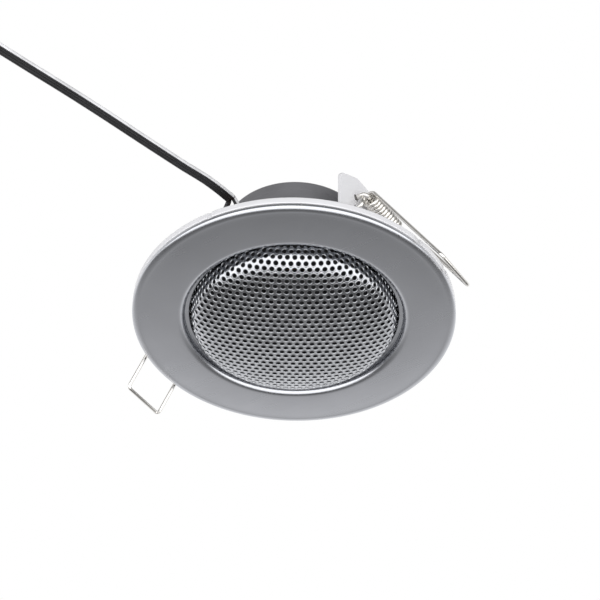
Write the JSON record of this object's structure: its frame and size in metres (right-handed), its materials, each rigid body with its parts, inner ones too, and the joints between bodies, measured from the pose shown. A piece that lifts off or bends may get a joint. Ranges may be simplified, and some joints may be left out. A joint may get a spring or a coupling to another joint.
{
  "type": "recessed mini loudspeaker",
  "caption": "Recessed mini loudspeaker with a domed perforated grille in a round chrome trim ring, held in a panel cut-out by sprung wire bails.",
  "frame": {"origin": "centre of the panel cut-out, on the plane where the mounting frame meets the underside of the panel", "axes": "+Z into the ceiling or panel, away from the listener; the grille faces -Z; the spring bails are on +X and -X; the cord leaves towards -Y"},
  "size_m": [0.1058, 0.1666, 0.0374],
  "materials": {
    "satin_chrome": "satin chrome plate on formed steel sheet",
    "grille_steel": "bright perforated steel",
    "frame_paint": "light grey paint on pressed steel",
    "spring_steel": "bright spring wire",
    "zinc": "zinc plated steel",
    "basket_steel": "black painted pressed steel",
    "cover_grey": "dark grey matte painted steel",
    "ferrite": "matte ferrite",
    "cone_paper": "black pressed paper",
    "rubber": "matte rubber",
    "cloth": "resin treated cotton",
    "kapton": "amber film",
    "copper": "enamelled copper",
    "board": "brown phenolic board",
    "tin": "tinned brass",
    "flex_black": "black flexible vinyl"
  },
  "bodies": {
    "housing": {"trim_ring": "satin_chrome", "grille": "grille_steel", "mounting_frame": "frame_paint", "rear_cover": "cover_grey", "basket": "basket_steel", "cone_gasket": "ferrite", "top_plate": "zinc", "magnet": "ferrite", "yoke": "zinc", "terminal_strip": "board", "twin_cord": "flex_black", "cord_coil": "flex_black", "frame_screw_1": "zinc", "frame_screw_2": "zinc", "frame_screw_3": "zinc", "frame_screw_4": "zinc", "clip_bracket_right": "frame_paint", "spring_staple_right": "spring_steel", "terminal_lug_right": "tin", "tinsel_lead_right": "copper", "cord_strand_right": "flex_black", "bracket_rivet_right_1": "zinc", "bracket_rivet_right_2": "zinc", "clip_bracket_left": "frame_paint", "spring_staple_left": "spring_steel", "terminal_lug_left": "tin", "tinsel_lead_left": "copper", "cord_strand_left": "flex_black", "bracket_rivet_left_1": "zinc", "bracket_rivet_left_2": "zinc"},
    "cone_assembly": {"surround": "rubber", "cone": "cone_paper", "dust_cap": "cone_paper", "voice_coil_former": "kapton", "voice_coil_winding": "copper", "spider": "cloth"},
    "bail_right": {"spring_clip_right": "spring_steel"},
    "bail_left": {"spring_clip_left": "spring_steel"}
  },
  "joints": [
    {"name": "bail_right_swing", "type": "hinge", "parent": "housing", "child": "bail_right", "pos_m": [0.026, 0, 0.0202], "axis": [0, -1, 0], "range_deg": [0, 148], "stiffness_Nm_per_rad": 0.06, "springref_deg": -34.38},
    {"name": "bail_left_swing", "type": "hinge", "parent": "housing", "child": "bail_left", "pos_m": [-0.026, 0, 0.0202], "axis": [0, 1, 0], "range_deg": [0, 148], "stiffness_Nm_per_rad": 0.06, "springref_deg": -34.38},
    {"name": "cone_travel", "type": "slide", "parent": "housing", "child": "cone_assembly", "axis": [0, 0, -1], "range_m": [-0.0012, 0.0012], "stiffness_N_per_m": 700, "deforming": ["surround", "spider", "tinsel_lead_left", "tinsel_lead_right"]}
  ]
}
